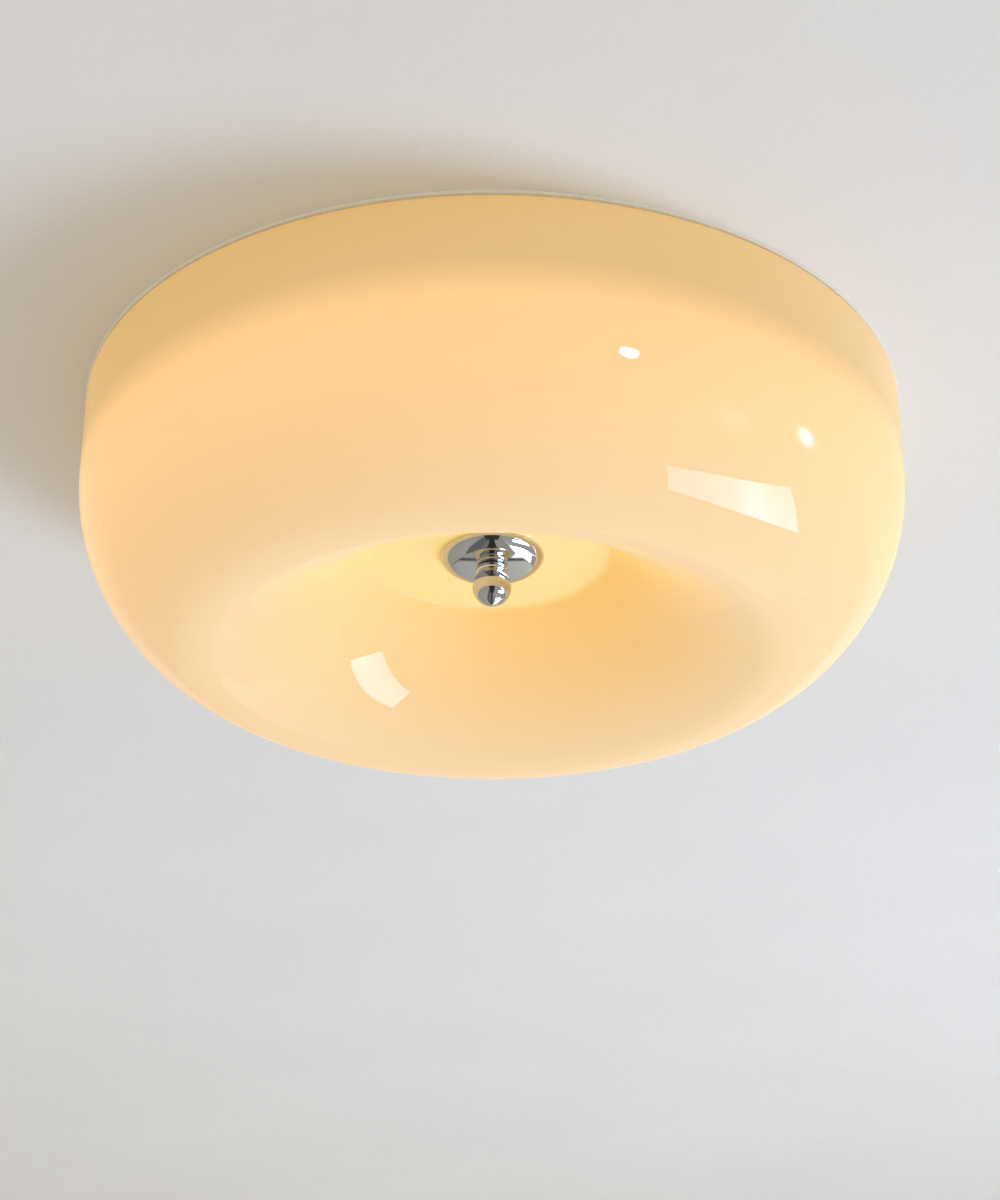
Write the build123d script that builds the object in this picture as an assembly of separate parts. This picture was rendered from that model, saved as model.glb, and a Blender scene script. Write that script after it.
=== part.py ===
from build123d import *
import math
import os

# A round flush ceiling light. A blown opal glass bowl with a dimple in its middle hangs from a
# threaded rod under a white steel pan, and a chrome cap and a ball finial on the rod hold it up.
# Millimetres, +Z up. The origin is the middle of the ceiling plane, so the light lies below Z = 0.

# Glass shade, outside sizes, with depths from the ceiling
SHADE_RADIUS = 200.0
SHADE_DEPTH = 127.8
GLASS_WALL = 4.5
SHOULDER_RADIUS = 92.0
SHOULDER_TURN = 60.0
CREST_OUTER_RADIUS = 31.0
CREST_INNER_RADIUS = 30.0
CREST_INNER_TURN = 25.0
DIMPLE_FLOOR_RADIUS = 55.8
DIMPLE_FLOOR_DEPTH = 70.3
DIMPLE_FILLET = 4.0
RIM_ROUND = 1.8
RIM_ROUND_SHARE = 0.4

# Steel pan, open to the ceiling, and the foam seal under its flange
PAN_SHEET = 1.2
PAN_DEPTH = 40.0
PAN_GLASS_GAP = 12.5
PAN_TAPER = 13.0
PAN_BEND_RADIUS = 4.0
FLANGE_PROUD = 0.3
SEAL_THICKNESS = 0.6
SEAL_WIDTH = 7.5
SEAL_INSET = 0.4

# Ceiling strap, a steel bar with joggled ends, and the screws that hang from it
STRAP_LENGTH = 170.0
STRAP_WIDTH = 24.0
STRAP_SHEET = 2.0
STRAP_FOOT = 28.0
STRAP_JOGGLE_RUN = 7.0
STRAP_DROP = 6.0
STRAP_BEND_RADIUS = 3.0
STRAP_CORNER = 5.0
SLOT_SPACING = 60.0
SLOT_LENGTH = 16.0
SLOT_WIDTH = 5.2
CABLE_HOLE_RADIUS = 6.0
STUD_END_MARGIN = 15.0
STUD_RADIUS = 2.0
STUD_HEAD_RADIUS = 3.8
STUD_HEAD_HEIGHT = 2.6
STUD_WASHER_RADIUS = 5.0
STUD_WASHER_THICKNESS = 0.9
CAP_NUT_ACROSS_FLATS = 7.0
CAP_NUT_HEX_HEIGHT = 3.4
CAP_NUT_DOME_RADIUS = 3.3
CAP_NUT_DOME_RISE = 1.6
CAP_NUT_DOME_ROUND = 3.0
CAP_NUT_GRIP = 4.6

# Threaded rod in the middle of the pan, with its nuts and washers
ROD_RADIUS = 5.0
ROD_END_PROUD = 2.0
ROD_NUT_ACROSS_FLATS = 14.0
ROD_NUT_HEIGHT = 3.5
ROD_WASHER_RADIUS = 9.0
ROD_WASHER_THICKNESS = 1.0

# Bush and gasket that keep the glass off the metal
BUSH_WALL = 1.2
BUSH_FLANGE_RADIUS = 11.0
BUSH_FLANGE_THICKNESS = 1.5
GASKET_THICKNESS = 0.6
GASKET_INSET = 0.7

# Chrome cap and ball finial
CAP_RADIUS = 25.2
CAP_SHEET = 0.9
CAP_SKIRT = 0.7
CAP_RIM_SLOPE = 68.0
CAP_EDGE_RADIUS = 8.0
CAP_CROWN_RADIUS = 600.0
CAP_SEAT_RADIUS = 9.0
FINIAL_BEAD_RADIUS = 7.7
FINIAL_BEAD_HEIGHT = 4.3
FINIAL_BEAD_ROUND = 2.0
FINIAL_NECK_RADIUS = 6.8
FINIAL_BALL_RADIUS = 9.45
FINIAL_THREAD_GRIP = 12.0
FINIAL_BORE_SPARE = 1.5

# Ring board with two rows of light-emitting chips
BOARD_THICKNESS = 1.6
BOARD_INNER_RADIUS = 92.0
BOARD_PAN_MARGIN = 10.0
CHIP_LENGTH = 3.5
CHIP_WIDTH = 2.8
CHIP_HEIGHT = 0.8
CHIP_EDGE_MARGIN = 12.0
CHIPS_OUTER_ROW = 36
CHIPS_INNER_ROW = 24
BOARD_SCREW_COUNT = 6
CONNECTOR_LENGTH = 7.0
CONNECTOR_WIDTH = 9.0
CONNECTOR_HEIGHT = 5.0
CONNECTOR_EDGE_GAP = 2.0

# Driver, a plastic case on the pan's floor with a cover, a circuit board and its parts
DRIVER_LENGTH = 120.0
DRIVER_WIDTH = 42.0
DRIVER_Y = 46.0
DRIVER_WALL = 1.6
DRIVER_CASE_HEIGHT = 14.0
DRIVER_COVER_HEIGHT = 10.0
DRIVER_CORNER = 3.0
DRIVER_EAR_LENGTH = 12.0
DRIVER_EAR_WIDTH = 20.0
DRIVER_EAR_THICKNESS = 2.5
DRIVER_RIB_WIDTH = 2.0
DRIVER_RIB_HEIGHT = 3.0
DRIVER_BOARD_GAP = 0.5
TRANSFORMER_LENGTH = 24.0
TRANSFORMER_WIDTH = 20.0
TRANSFORMER_HEIGHT = 13.0
TRANSFORMER_CHAMFER = 2.0
CAPACITOR_RADIUS = 5.0
CAPACITOR_HEIGHT = 13.0
CAPACITOR_OFFSET = 26.0

# Terminal block, earth lug and lead grommet on the pan's floor
TERMINAL_Y = -46.0
TERMINAL_POLES = 3
TERMINAL_PITCH = 10.0
TERMINAL_END_MARGIN = 6.0
TERMINAL_WIDTH = 18.0
TERMINAL_HEIGHT = 15.0
TERMINAL_ROUND = 1.5
TERMINAL_HOLE_HEIGHT = 5.0
TERMINAL_HOLE_DEPTH = 7.0
TERMINAL_SCREW_ROW = 4.6
TERMINAL_SCREW_RADIUS = 1.9
TERMINAL_SCREW_HEIGHT = 3.0
TERMINAL_WELL_DEPTH = 5.0
EARTH_X = 48.0
EARTH_Y = -30.0
LUG_RADIUS = 4.4
LUG_SHEET = 0.8
LUG_BARREL_WALL = 0.7
LUG_BARREL_LENGTH = 7.0
GROMMET_X = 78.0
GROMMET_Y = 16.0
GROMMET_FLANGE_RADIUS = 7.6
GROMMET_NECK_RADIUS = 6.1
GROMMET_BORE_RADIUS = 4.8
GROMMET_FLANGE_THICKNESS = 1.2

# Small screws that cut their thread in the pan, and the leads
SMALL_SCREW_RADIUS = 1.5
SMALL_SCREW_HEAD_RADIUS = 2.8
SMALL_SCREW_HEAD_HEIGHT = 1.8
SCREW_TIP_PROUD = 3.0
LEAD_RADIUS = 1.1
LEAD_ENTRY = 5.0
LEAD_BEND_SHARE = 0.45
LEAD_STRAIGHT = 10.0
LEAD_SPACING = 8.0
LEAD_STUD_GAP = 18.0
LEAD_TURN_ROOM = 11.0
LEAD_BEND_ROOM = 1.0

# Clearances, on the radius for round fits
THREAD_CLEARANCE = 0.05
BOLT_CLEARANCE = 0.3
BUSH_CLEARANCE = 0.25
LEAD_CLEARANCE = 0.3

# Heights of the seats, worked out from the ceiling downwards
flange_under = -PAN_SHEET
rim_z = flange_under - SEAL_THICKNESS
pan_floor_top = PAN_SHEET - PAN_DEPTH
pan_under = -PAN_DEPTH
strap_foot_top = -STRAP_DROP
board_under = pan_under - BOARD_THICKNESS
dimple_z = -DIMPLE_FLOOR_DEPTH
cap_top = dimple_z - GASKET_THICKNESS

# Radii that follow from the glass and the rod
flange_radius = SHADE_RADIUS + FLANGE_PROUD
pan_top_radius = SHADE_RADIUS - GLASS_WALL - PAN_GLASS_GAP
pan_floor_radius = pan_top_radius - PAN_TAPER
board_outer_radius = pan_floor_radius - BOARD_PAN_MARGIN
chip_outer_row_radius = board_outer_radius - CHIP_EDGE_MARGIN
chip_inner_row_radius = BOARD_INNER_RADIUS + CHIP_EDGE_MARGIN
board_screw_radius = (chip_outer_row_radius + chip_inner_row_radius) / 2
rod_hole_radius = ROD_RADIUS + BOLT_CLEARANCE
bush_bore_radius = ROD_RADIUS + BUSH_CLEARANCE
bush_sleeve_radius = bush_bore_radius + BUSH_WALL
shade_hole_radius = bush_sleeve_radius + BUSH_CLEARANCE

# Levels that the driver and the leads share
driver_board_z = pan_floor_top + DRIVER_WALL + DRIVER_RIB_HEIGHT
driver_lead_z = driver_board_z + BOARD_THICKNESS + LEAD_RADIUS + LEAD_CLEARANCE
terminal_lead_z = pan_floor_top + TERMINAL_HOLE_HEIGHT
lug_lead_z = pan_floor_top + LUG_BARREL_WALL + LEAD_RADIUS + LEAD_CLEARANCE
connector_lead_z = board_under - CONNECTOR_HEIGHT / 2
driver_end_x = DRIVER_LENGTH / 2
driver_ear_x = driver_end_x + DRIVER_EAR_LENGTH / 2
terminal_front_y = TERMINAL_Y + TERMINAL_WIDTH / 2
lug_barrel_x = EARTH_X - LUG_RADIUS
stud_x = STRAP_LENGTH / 2 - STUD_END_MARGIN


def turned(edges):
    """A solid of revolution about the light's axis, from a closed section drawn as radius and height."""
    return revolve(Plane.XZ * make_face(edges), Axis.Z)


def disc(radius, top, thickness, x=0.0, y=0.0):
    """A round plate or pin whose upper face is at the given height."""
    return Pos(x, y, top - thickness / 2) * Cylinder(radius, thickness)


def ring(outer, inner, top, thickness, x=0.0, y=0.0):
    """A flat washer or gasket."""
    return disc(outer, top, thickness, x, y) - disc(inner, top, thickness, x, y)


def block(length, width, height, x, y, bottom):
    """A plain block standing on the given height."""
    return Pos(x, y, bottom + height / 2) * Box(length, width, height)


def rounded_block(length, width, height, corner, x, y, bottom):
    """A block with upright edges rounded."""
    outline = RectangleRounded(length, width, corner)
    return Pos(x, y, bottom) * extrude(outline, height)


def hexagon(across_flats, top, height, x=0.0, y=0.0):
    """A six-sided bar whose upper face is at the given height."""
    outline = RegularPolygon(across_flats / 2, 6, major_radius=False)
    return Pos(x, y, top - height) * extrude(outline, height)


def pan_head_screw(radius, head_radius, head_height, seat, tip, x, y):
    """A screw with its domed head on the seat height and its shank running to the tip height."""
    rise = 1 if seat > tip else -1
    head = Pos(x, y, seat + rise * head_height / 2) * Cylinder(head_radius, head_height)
    head_top = head.edges().filter_by(GeomType.CIRCLE).sort_by(Axis.Z)[-1 if rise > 0 else 0]
    head = fillet(head_top, head_height / 2)
    shank = disc(radius, max(seat, tip), abs(seat - tip), x, y)
    return head + shank


def group(solids):
    """Like pieces that share one node."""
    return Compound(children=[s.solid() for s in solids])


def stud_places():
    return [(-stud_x, 0.0), (stud_x, 0.0)]


def driver_screw_places():
    return [(-driver_ear_x, DRIVER_Y), (driver_ear_x, DRIVER_Y)]


def board_screw_places():
    half_step = math.pi / BOARD_SCREW_COUNT
    angles = [half_step + 2 * half_step * i for i in range(BOARD_SCREW_COUNT)]
    return [(board_screw_radius * math.cos(a), board_screw_radius * math.sin(a)) for a in angles]


def terminal_pole_x(pole):
    return (pole - (TERMINAL_POLES - 1) / 2) * TERMINAL_PITCH


def terminal_fixing_x():
    """The block's fixing screw stands midway between its first two poles."""
    return (terminal_pole_x(0) + terminal_pole_x(1)) / 2


def dimple_arc():
    """Radius and end slope of the arc that runs from the crest into the fillet of the dimple's floor."""
    outer_turn = math.radians(SHOULDER_TURN)
    inner_turn = math.radians(CREST_INNER_TURN)
    shoulder_draw = SHOULDER_RADIUS * (1 - math.cos(outer_turn))
    crest = SHADE_RADIUS - shoulder_draw - CREST_OUTER_RADIUS * math.cos(outer_turn)
    start = Vector(
        crest - CREST_INNER_RADIUS * math.sin(inner_turn),
        -SHADE_DEPTH + CREST_INNER_RADIUS * (1 - math.cos(inner_turn)),
    )
    normal = Vector(math.sin(inner_turn), math.cos(inner_turn))
    fillet_centre = Vector(DIMPLE_FLOOR_RADIUS, dimple_z - DIMPLE_FILLET)
    across = start - fillet_centre
    radius = (across.length**2 - DIMPLE_FILLET**2) / (2 * (DIMPLE_FILLET - across.dot(normal)))
    towards = fillet_centre - (start + normal * radius)
    return radius, math.degrees(math.atan2(-towards.X, -towards.Y))


def shade_side(inset):
    """One side of the glass section, from the rim round the crest to the hole, inset into the wall."""
    dimple_radius, dimple_slope = dimple_arc()
    sine = math.sin(math.radians(SHOULDER_TURN))
    curve_depth = SHOULDER_RADIUS * sine + CREST_OUTER_RADIUS * (1 - sine)
    wall_radius = SHADE_RADIUS - inset
    side = [Line((wall_radius, rim_z), (wall_radius, curve_depth - SHADE_DEPTH))]
    arcs = [
        (SHOULDER_RADIUS - inset, -SHOULDER_TURN),
        (CREST_OUTER_RADIUS - inset, SHOULDER_TURN - 90),
        (CREST_INNER_RADIUS - inset, -CREST_INNER_TURN),
        (dimple_radius - inset, CREST_INNER_TURN - dimple_slope),
        (DIMPLE_FILLET + inset, dimple_slope),
    ]
    for radius, turn in arcs:
        side.append(JernArc(side[-1] @ 1, side[-1] % 1, radius, turn))
    floor_edge = side[-1] @ 1
    side.append(Line(floor_edge, (shade_hole_radius, floor_edge.Y)))
    return side


def glass_shade():
    outside = shade_side(0.0)
    inside = shade_side(GLASS_WALL)
    rim = Line(outside[0] @ 0, inside[0] @ 0)
    hole = Line(outside[-1] @ 1, inside[-1] @ 1)
    shade = turned(outside + inside + [rim, hole])
    rim_edges = shade.edges().filter_by(GeomType.CIRCLE).group_by(Axis.Z)[-1]
    return fillet(rim_edges, min(RIM_ROUND, RIM_ROUND_SHARE * GLASS_WALL))


def shade_bush():
    glass_top = dimple_z + GLASS_WALL
    flange = disc(BUSH_FLANGE_RADIUS, glass_top + BUSH_FLANGE_THICKNESS, BUSH_FLANGE_THICKNESS)
    sleeve = disc(bush_sleeve_radius, glass_top, GLASS_WALL)
    bore = disc(bush_bore_radius, glass_top + BUSH_FLANGE_THICKNESS, GLASS_WALL + BUSH_FLANGE_THICKNESS)
    return flange + sleeve - bore


def cap_gasket():
    return ring(CAP_RADIUS - GASKET_INSET, bush_bore_radius, dimple_z, GASKET_THICKNESS)


def cap_side(inset):
    """One side of the cap section: upright skirt, rounded edge, crown, then the flat seat of the finial."""
    rim_slope = math.radians(CAP_RIM_SLOPE)
    edge_middle = CAP_RADIUS - CAP_EDGE_RADIUS * math.sin(rim_slope)
    edge_middle_z = cap_top - CAP_SKIRT + CAP_EDGE_RADIUS * math.cos(rim_slope)
    edge_radius = CAP_EDGE_RADIUS - inset
    start_slope = math.asin((CAP_RADIUS - inset - edge_middle) / edge_radius)
    crown_slope = math.asin(edge_middle / (CAP_CROWN_RADIUS - CAP_EDGE_RADIUS))
    seat_slope = math.asin(CAP_SEAT_RADIUS / CAP_CROWN_RADIUS)
    skirt_end = (CAP_RADIUS - inset, edge_middle_z - edge_radius * math.cos(start_slope))
    skirt = Line((CAP_RADIUS - inset, cap_top), skirt_end)
    heading = (-math.cos(start_slope), -math.sin(start_slope))
    edge = JernArc(skirt_end, heading, edge_radius, math.degrees(crown_slope - start_slope))
    crown_turn = math.degrees(seat_slope - crown_slope)
    crown = JernArc(edge @ 1, edge % 1, CAP_CROWN_RADIUS - inset, crown_turn)
    seat_edge = crown @ 1
    return [skirt, edge, crown, Line(seat_edge, (rod_hole_radius, seat_edge.Y))]


def cap_seat_z():
    """Height of the flat underside of the cap, where the finial bears."""
    return (cap_side(0.0)[-1] @ 1).Y


def finial_cap():
    outside = cap_side(0.0)
    inside = cap_side(CAP_SHEET)
    rim = Line(outside[0] @ 0, inside[0] @ 0)
    hole = Line(outside[-1] @ 1, inside[-1] @ 1)
    return turned(outside + inside + [rim, hole])


def finial():
    """Turned collar bead over a ball, bored blind for the rod."""
    top = cap_seat_z()
    bead = disc(FINIAL_BEAD_RADIUS, top, FINIAL_BEAD_HEIGHT)
    bead = fillet(bead.edges().filter_by(GeomType.CIRCLE), FINIAL_BEAD_ROUND)
    ball_drop = math.sqrt(FINIAL_BALL_RADIUS**2 - FINIAL_NECK_RADIUS**2)
    ball = Pos(0, 0, top - FINIAL_BEAD_HEIGHT - ball_drop) * Sphere(FINIAL_BALL_RADIUS)
    bore = disc(ROD_RADIUS + THREAD_CLEARANCE, top, FINIAL_THREAD_GRIP + FINIAL_BORE_SPARE)
    return bead + ball - bore


def centre_rod():
    top = pan_floor_top + ROD_WASHER_THICKNESS + ROD_NUT_HEIGHT + ROD_END_PROUD
    bottom = cap_seat_z() - FINIAL_THREAD_GRIP
    return disc(ROD_RADIUS, top, top - bottom)


def rod_washers():
    upper_top = pan_floor_top + ROD_WASHER_THICKNESS
    tops = [upper_top, pan_under]
    return group(ring(ROD_WASHER_RADIUS, rod_hole_radius, t, ROD_WASHER_THICKNESS) for t in tops)


def rod_nuts():
    upper_top = pan_floor_top + ROD_WASHER_THICKNESS + ROD_NUT_HEIGHT
    lower_top = pan_under - ROD_WASHER_THICKNESS
    bore_radius = ROD_RADIUS + THREAD_CLEARANCE
    nuts = []
    for top in (upper_top, lower_top):
        nut = hexagon(ROD_NUT_ACROSS_FLATS, top, ROD_NUT_HEIGHT)
        nuts.append(nut - disc(bore_radius, top, ROD_NUT_HEIGHT))
    return group(nuts)


def chassis_pan():
    """Deep-drawn pan with a flange on the ceiling and a floor pierced for everything fixed to it."""
    sheet_floor = pan_floor_top - PAN_SHEET / 2
    middle = FilletPolyline(
        (rod_hole_radius, sheet_floor),
        (pan_floor_radius, sheet_floor),
        (pan_top_radius, -PAN_SHEET / 2),
        (flange_radius, -PAN_SHEET / 2),
        radius=PAN_BEND_RADIUS,
    )
    pan = revolve(Plane.XZ * trace(middle, PAN_SHEET), Axis.Z)
    screw_hole = SMALL_SCREW_RADIUS + THREAD_CLEARANCE
    holes = [(STUD_RADIUS + BOLT_CLEARANCE, x, y) for x, y in stud_places()]
    holes += [(screw_hole, x, y) for x, y in board_screw_places() + driver_screw_places()]
    holes.append((screw_hole, terminal_fixing_x(), TERMINAL_Y))
    holes.append((STUD_RADIUS + THREAD_CLEARANCE, EARTH_X, EARTH_Y))
    holes.append((GROMMET_NECK_RADIUS + THREAD_CLEARANCE, GROMMET_X, GROMMET_Y))
    for radius, x, y in holes:
        pan -= disc(radius, pan_floor_top, PAN_SHEET, x, y)
    return pan


def rim_seal():
    outer = SHADE_RADIUS - SEAL_INSET
    return ring(outer, outer - SEAL_WIDTH, flange_under, SEAL_THICKNESS)


def ceiling_bracket():
    """Flat bar on the ceiling with slots for the ceiling screws and dropped feet for the hanging screws."""
    flat_mid = -STRAP_SHEET / 2
    foot_mid = strap_foot_top - STRAP_SHEET / 2
    end = STRAP_LENGTH / 2
    foot_end = end - STRAP_FOOT
    flat_end = foot_end - STRAP_JOGGLE_RUN
    middle = FilletPolyline(
        (-end, foot_mid),
        (-foot_end, foot_mid),
        (-flat_end, flat_mid),
        (flat_end, flat_mid),
        (foot_end, foot_mid),
        (end, foot_mid),
        radius=STRAP_BEND_RADIUS,
    )
    section = Plane.XZ * trace(middle, STRAP_SHEET)
    strap = extrude(section, STRAP_WIDTH / 2, both=True)
    outline = RectangleRounded(STRAP_LENGTH, STRAP_WIDTH, STRAP_CORNER)
    strap &= extrude(outline, strap_foot_top - STRAP_SHEET)
    slot = extrude(SlotOverall(SLOT_LENGTH, SLOT_WIDTH), -STRAP_SHEET)
    strap -= Pos(-SLOT_SPACING / 2, 0, 0) * slot
    strap -= Pos(SLOT_SPACING / 2, 0, 0) * slot
    strap -= disc(CABLE_HOLE_RADIUS, 0, STRAP_SHEET)
    for x, y in stud_places():
        strap -= disc(STUD_RADIUS + THREAD_CLEARANCE, strap_foot_top, STRAP_SHEET, x, y)
    return strap


def hanging_screws():
    tip = pan_under - STUD_WASHER_THICKNESS - CAP_NUT_GRIP
    head = (STUD_HEAD_RADIUS, STUD_HEAD_HEIGHT)
    return group(pan_head_screw(STUD_RADIUS, *head, strap_foot_top, tip, x, y) for x, y in stud_places())


def stud_washers():
    hole = STUD_RADIUS + BOLT_CLEARANCE
    sizes = (STUD_WASHER_RADIUS, hole, pan_under, STUD_WASHER_THICKNESS)
    return group(ring(*sizes, x, y) for x, y in stud_places())


def cap_nut(x, y):
    """A hexagon nut closed by a low dome."""
    top = pan_under - STUD_WASHER_THICKNESS
    dome_top = top - CAP_NUT_HEX_HEIGHT
    dome = disc(CAP_NUT_DOME_RADIUS, dome_top, CAP_NUT_DOME_RADIUS + CAP_NUT_DOME_RISE, x, y)
    dome_end = dome.edges().filter_by(GeomType.CIRCLE).sort_by(Axis.Z)[0]
    dome = fillet(dome_end, CAP_NUT_DOME_ROUND)
    bore_depth = CAP_NUT_GRIP + BOLT_CLEARANCE
    nut = hexagon(CAP_NUT_ACROSS_FLATS, top, CAP_NUT_HEX_HEIGHT, x, y) + dome
    return nut - disc(STUD_RADIUS + THREAD_CLEARANCE, top, bore_depth, x, y)


def stud_cap_nuts():
    return group(cap_nut(x, y) for x, y in stud_places())


def led_board():
    board = ring(board_outer_radius, BOARD_INNER_RADIUS, pan_under, BOARD_THICKNESS)
    for x, y in board_screw_places():
        board -= disc(SMALL_SCREW_RADIUS + BOLT_CLEARANCE, pan_under, BOARD_THICKNESS, x, y)
    return board


def led_chips():
    chip = Box(CHIP_WIDTH, CHIP_LENGTH, CHIP_HEIGHT)
    middle = Pos(0, 0, board_under - CHIP_HEIGHT / 2)
    outer = PolarLocations(chip_outer_row_radius, CHIPS_OUTER_ROW)
    inner = PolarLocations(chip_inner_row_radius, CHIPS_INNER_ROW)
    return group(middle * place * chip for row in (outer, inner) for place in row)


def led_board_screws():
    tip = pan_floor_top + SCREW_TIP_PROUD
    head = (SMALL_SCREW_HEAD_RADIUS, SMALL_SCREW_HEAD_HEIGHT)
    places = board_screw_places()
    return group(pan_head_screw(SMALL_SCREW_RADIUS, *head, board_under, tip, x, y) for x, y in places)


def connector_front_x():
    """Inner face of the board's connector, which stands a little inside the board's edge."""
    return math.sqrt(BOARD_INNER_RADIUS**2 - GROMMET_Y**2) + CONNECTOR_EDGE_GAP


def output_lead_offset():
    """How far each output lead lies from the middle of the grommet, along X and along Y."""
    return (GROMMET_BORE_RADIUS - LEAD_RADIUS - LEAD_CLEARANCE - LEAD_BEND_ROOM) / math.sqrt(2)


def board_connector():
    x = connector_front_x() + CONNECTOR_LENGTH / 2
    size = (CONNECTOR_LENGTH, CONNECTOR_WIDTH, CONNECTOR_HEIGHT)
    connector = block(*size, x, GROMMET_Y, board_under - CONNECTOR_HEIGHT)
    for side in (-1, 1):
        y = GROMMET_Y + side * output_lead_offset()
        hole = Rot(0, 90, 0) * Cylinder(LEAD_RADIUS + LEAD_CLEARANCE, 2 * LEAD_ENTRY)
        connector -= Pos(connector_front_x(), y, connector_lead_z) * hole
    return connector


def driver_shell(bottom, height, floor_at_bottom):
    """Half of the driver's case: a rounded box with one open face."""
    place = (0.0, DRIVER_Y)
    shell = rounded_block(DRIVER_LENGTH, DRIVER_WIDTH, height, DRIVER_CORNER, *place, bottom)
    hollow_length = DRIVER_LENGTH - 2 * DRIVER_WALL
    hollow_width = DRIVER_WIDTH - 2 * DRIVER_WALL
    hollow_bottom = bottom + DRIVER_WALL if floor_at_bottom else bottom
    hollow = (hollow_length, hollow_width, height - DRIVER_WALL, DRIVER_CORNER - DRIVER_WALL)
    return shell - rounded_block(*hollow, *place, hollow_bottom)


def driver_lead_places():
    """Places along Y where the leads pass the ends of the driver's case."""
    return [DRIVER_Y - 3 * LEAD_RADIUS, DRIVER_Y + 3 * LEAD_RADIUS]


def driver_case():
    case = driver_shell(pan_floor_top, DRIVER_CASE_HEIGHT, True)
    rib_length = DRIVER_LENGTH - 2 * DRIVER_WALL
    rib_y = DRIVER_WIDTH / 2 - DRIVER_WALL - DRIVER_RIB_WIDTH / 2
    rib_bottom = pan_floor_top + DRIVER_WALL
    for side in (-1, 1):
        y = DRIVER_Y + side * rib_y
        case += block(rib_length, DRIVER_RIB_WIDTH, DRIVER_RIB_HEIGHT, 0, y, rib_bottom)
        ear = (DRIVER_EAR_LENGTH, DRIVER_EAR_WIDTH, DRIVER_EAR_THICKNESS)
        case += block(*ear, side * driver_ear_x, DRIVER_Y, pan_floor_top)
        ear_hole = SMALL_SCREW_RADIUS + BOLT_CLEARANCE
        ear_top = pan_floor_top + DRIVER_EAR_THICKNESS
        case -= disc(ear_hole, ear_top, DRIVER_EAR_THICKNESS, side * driver_ear_x, DRIVER_Y)
        for lead_y in driver_lead_places():
            hole = Rot(0, 90, 0) * Cylinder(LEAD_RADIUS + LEAD_CLEARANCE, 4 * DRIVER_WALL)
            case -= Pos(side * driver_end_x, lead_y, driver_lead_z) * hole
    return case


def driver_cover():
    return driver_shell(pan_floor_top + DRIVER_CASE_HEIGHT, DRIVER_COVER_HEIGHT, False)


def driver_board():
    length = DRIVER_LENGTH - 2 * DRIVER_WALL - 2 * DRIVER_BOARD_GAP
    width = DRIVER_WIDTH - 2 * DRIVER_WALL - 2 * DRIVER_BOARD_GAP
    corner = DRIVER_CORNER - DRIVER_WALL
    return rounded_block(length, width, BOARD_THICKNESS, corner, 0, DRIVER_Y, driver_board_z)


def driver_transformer():
    bottom = driver_board_z + BOARD_THICKNESS
    core = block(TRANSFORMER_LENGTH, TRANSFORMER_WIDTH, TRANSFORMER_HEIGHT, 0, DRIVER_Y, bottom)
    return chamfer(core.edges().filter_by(Axis.Z), TRANSFORMER_CHAMFER)


def driver_capacitors():
    top = driver_board_z + BOARD_THICKNESS + CAPACITOR_HEIGHT
    places = (-CAPACITOR_OFFSET, CAPACITOR_OFFSET)
    return group(disc(CAPACITOR_RADIUS, top, CAPACITOR_HEIGHT, x, DRIVER_Y) for x in places)


def driver_screws():
    seat = pan_floor_top + DRIVER_EAR_THICKNESS
    tip = pan_under - SCREW_TIP_PROUD
    head = (SMALL_SCREW_HEAD_RADIUS, SMALL_SCREW_HEAD_HEIGHT)
    places = driver_screw_places()
    return group(pan_head_screw(SMALL_SCREW_RADIUS, *head, seat, tip, x, y) for x, y in places)


def terminal_block():
    """A block with a lead hole on both sides of each pole, and a well for the screw of each hole."""
    length = (TERMINAL_POLES - 1) * TERMINAL_PITCH + 2 * TERMINAL_END_MARGIN
    body = block(length, TERMINAL_WIDTH, TERMINAL_HEIGHT, 0, TERMINAL_Y, pan_floor_top)
    body = fillet(body.edges().filter_by(Axis.Z), TERMINAL_ROUND)
    top = pan_floor_top + TERMINAL_HEIGHT
    well_radius = TERMINAL_SCREW_RADIUS + THREAD_CLEARANCE
    for pole in range(TERMINAL_POLES):
        x = terminal_pole_x(pole)
        for side in (-1, 1):
            hole = Rot(90, 0, 0) * Cylinder(LEAD_RADIUS + LEAD_CLEARANCE, 2 * TERMINAL_HOLE_DEPTH)
            body -= Pos(x, TERMINAL_Y + side * TERMINAL_WIDTH / 2, terminal_lead_z) * hole
            screw_y = TERMINAL_Y + side * TERMINAL_SCREW_ROW
            body -= disc(well_radius, top, TERMINAL_WELL_DEPTH, x, screw_y)
    fixing_hole = SMALL_SCREW_RADIUS + BOLT_CLEARANCE
    return body - disc(fixing_hole, top, TERMINAL_HEIGHT, terminal_fixing_x(), TERMINAL_Y)


def terminal_screws():
    top = pan_floor_top + TERMINAL_HEIGHT - TERMINAL_WELL_DEPTH + TERMINAL_SCREW_HEIGHT
    screws = []
    for pole in range(TERMINAL_POLES):
        for side in (-1, 1):
            place = (terminal_pole_x(pole), TERMINAL_Y + side * TERMINAL_SCREW_ROW)
            screws.append(disc(TERMINAL_SCREW_RADIUS, top, TERMINAL_SCREW_HEIGHT, *place))
    return group(screws)


def terminal_fixing_screw():
    seat = pan_floor_top + TERMINAL_HEIGHT
    tip = pan_under - SCREW_TIP_PROUD
    head = (SMALL_SCREW_HEAD_RADIUS, SMALL_SCREW_HEAD_HEIGHT)
    return pan_head_screw(SMALL_SCREW_RADIUS, *head, seat, tip, terminal_fixing_x(), TERMINAL_Y)


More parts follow.
